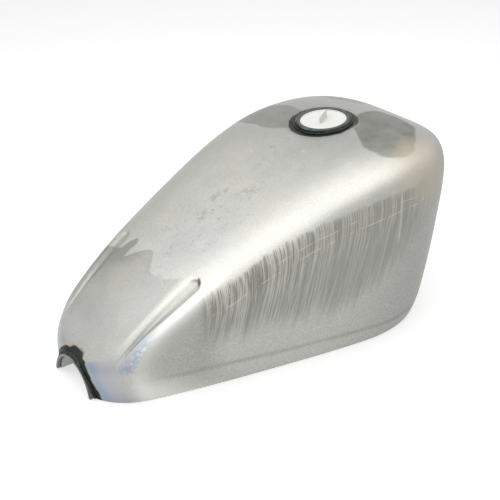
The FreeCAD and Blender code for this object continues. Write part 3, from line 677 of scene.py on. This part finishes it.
BUNG = Vector(MOUNTS["petcock_thread"]["pos_m"])
ripple_bead("nose_weld", along_arch, 0.00045, 0.0024, 0.00030, 0.00045, 0.004)
ripple_bead("tail_weld", along_arch, 0.00045, 0.0024, 0.00030, 0.00045, 0.004)
FILLER_BEAD_RADIUS = 0.035
ripple_bead("filler_weld", along_ring(FILLER, FILLER_BEAD_RADIUS), 0.00045, 0.0030, 0.00035,
            0.00070, 0.006)
BUNG_BEAD_RADIUS = 0.0155
ripple_bead("petcock_weld", along_ring(BUNG, BUNG_BEAD_RADIUS), 0.00040, 0.0020, 0.00025,
            0.00025, 0.004)
for side_name in ("left", "right"):
    for piece in ("rim_weld_", "tunnel_weld_"):
        ripple_bead(piece + side_name, lambda point: point.x, 0.00060, 0.0026, 0.00025,
                    0.00020, 0.005)
ripple_bead("bracket_welds", lambda point: point.x, 0.00035, 0.0022, 0.00020, 0.00020, 0.004)


# ------------------------------------------------------------------ stage, light and camera

FLOOR_LEVEL = -0.0003


def stage_floor():
    """Pale floor that reads white from above, keeps the tank's soft shadow and is clear from below."""
    mesh = bpy.data.meshes.new("floor")
    reach = 6.0
    corners = [(-reach, -reach, FLOOR_LEVEL), (reach, -reach, FLOOR_LEVEL),
               (reach, reach, FLOOR_LEVEL), (-reach, reach, FLOOR_LEVEL)]
    mesh.from_pydata(corners, [], [(0, 1, 2, 3)])
    floor = bpy.data.objects.new("floor", mesh)
    bpy.context.scene.collection.objects.link(floor)
    material = bpy.data.materials.new("floor_white")
    material.use_nodes = True
    nodes, links = material.node_tree.nodes, material.node_tree.links
    nodes.clear()
    diffuse = nodes.new("ShaderNodeBsdfDiffuse")
    diffuse.inputs["Color"].default_value = (0.66, 0.66, 0.66, 1)
    glow = nodes.new("ShaderNodeEmission")
    rays = nodes.new("ShaderNodeLightPath")
    seen = nodes.new("ShaderNodeMath")
    seen.operation = "MAXIMUM"
    links.new(rays.outputs["Is Camera Ray"], seen.inputs[0])
    links.new(rays.outputs["Is Glossy Ray"], seen.inputs[1])
    strength = nodes.new("ShaderNodeMath")
    strength.operation = "MULTIPLY"
    strength.inputs[1].default_value = 0.58
    links.new(seen.outputs[0], strength.inputs[0])
    links.new(strength.outputs[0], glow.inputs["Strength"])
    both = nodes.new("ShaderNodeAddShader")
    links.new(diffuse.outputs[0], both.inputs[0])
    links.new(glow.outputs[0], both.inputs[1])
    # one-sided, so that it does not hide the tank's underside
    side = nodes.new("ShaderNodeNewGeometry")
    clear = nodes.new("ShaderNodeBsdfTransparent")
    one_sided = nodes.new("ShaderNodeMixShader")
    links.new(side.outputs["Backfacing"], one_sided.inputs[0])
    links.new(both.outputs[0], one_sided.inputs[1])
    links.new(clear.outputs[0], one_sided.inputs[2])
    output = nodes.new("ShaderNodeOutputMaterial")
    links.new(one_sided.outputs[0], output.inputs[0])
    mesh.materials.append(material)


def world_light():
    """Plain grey light on the object, and white where the camera or a reflection sees the background."""
    world = bpy.data.worlds.new("studio")
    bpy.context.scene.world = world
    world.use_nodes = True
    nodes, links = world.node_tree.nodes, world.node_tree.links
    background = nodes["Background"]
    rays = nodes.new("ShaderNodeLightPath")
    blend = nodes.new("ShaderNodeMix")
    blend.data_type = "RGBA"
    blend.inputs[6].default_value = (0.40, 0.40, 0.40, 1)
    blend.inputs[7].default_value = (1, 1, 1, 1)
    camera_or_glossy = nodes.new("ShaderNodeMath")
    camera_or_glossy.operation = "MAXIMUM"
    links.new(rays.outputs["Is Camera Ray"], camera_or_glossy.inputs[0])
    links.new(rays.outputs["Is Glossy Ray"], camera_or_glossy.inputs[1])
    seen = nodes.new("ShaderNodeMath")
    seen.operation = "MAXIMUM"
    links.new(camera_or_glossy.outputs[0], seen.inputs[0])
    links.new(rays.outputs["Is Transmission Ray"], seen.inputs[1])
    links.new(seen.outputs[0], blend.inputs[0])
    links.new(blend.outputs[2], background.inputs["Color"])


def softbox(name, place, width, height, brightness, target=None):
    """Area lamp whose face has the given brightness, where 1 is white; it looks down or at a target."""
    lamp = bpy.data.lights.new(name, "AREA")
    lamp.shape = "RECTANGLE"
    lamp.size = width
    lamp.size_y = height
    lamp.energy = brightness * math.pi * width * height
    item = bpy.data.objects.new(name, lamp)
    bpy.context.scene.collection.objects.link(item)
    item.location = place
    if target:
        item.rotation_euler = (Vector(target) - Vector(place)).to_track_quat("-Z", "Y").to_euler()


stage_floor()
world_light()
CENTRE = (0, 0, 0.1)
softbox("softbox_top", (-0.03, -0.075, 1.15), 1.65, 1.05, 1.60)
softbox("softbox_back", (-0.30, 0.85, 1.20), 1.50, 0.70, 0.40, CENTRE)
softbox("softbox_nose", (-0.75, 0.50, 1.00), 0.80, 0.60, 1.10, (NOSE, 0, 0.1))
softbox("softbox_rear", (1.35, -0.10, 0.95), 0.80, 0.80, 0.40, CENTRE)

CAMERA_PLACE = Vector((-0.65176, -0.85235, 0.66161))
AZIMUTH = math.radians(-37.171)
ELEVATION = math.radians(28.243)
LENS = 74.18
SENSOR_WIDTH = 36
back = Vector((math.sin(AZIMUTH) * math.cos(ELEVATION),
               -math.cos(AZIMUTH) * math.cos(ELEVATION),
               math.sin(ELEVATION)))
right = Vector((math.cos(AZIMUTH), math.sin(AZIMUTH), 0))
up = back.cross(right)
camera_data = bpy.data.cameras.new("camera")
camera_data.sensor_width = SENSOR_WIDTH
camera_data.lens = LENS
camera = bpy.data.objects.new("camera", camera_data)
bpy.context.scene.collection.objects.link(camera)
turned = Matrix((right, up, back)).transposed().to_4x4()
camera.matrix_world = Matrix.Translation(CAMERA_PLACE) @ turned
bpy.context.scene.camera = camera
bpy.context.scene.view_settings.view_transform = "Standard"
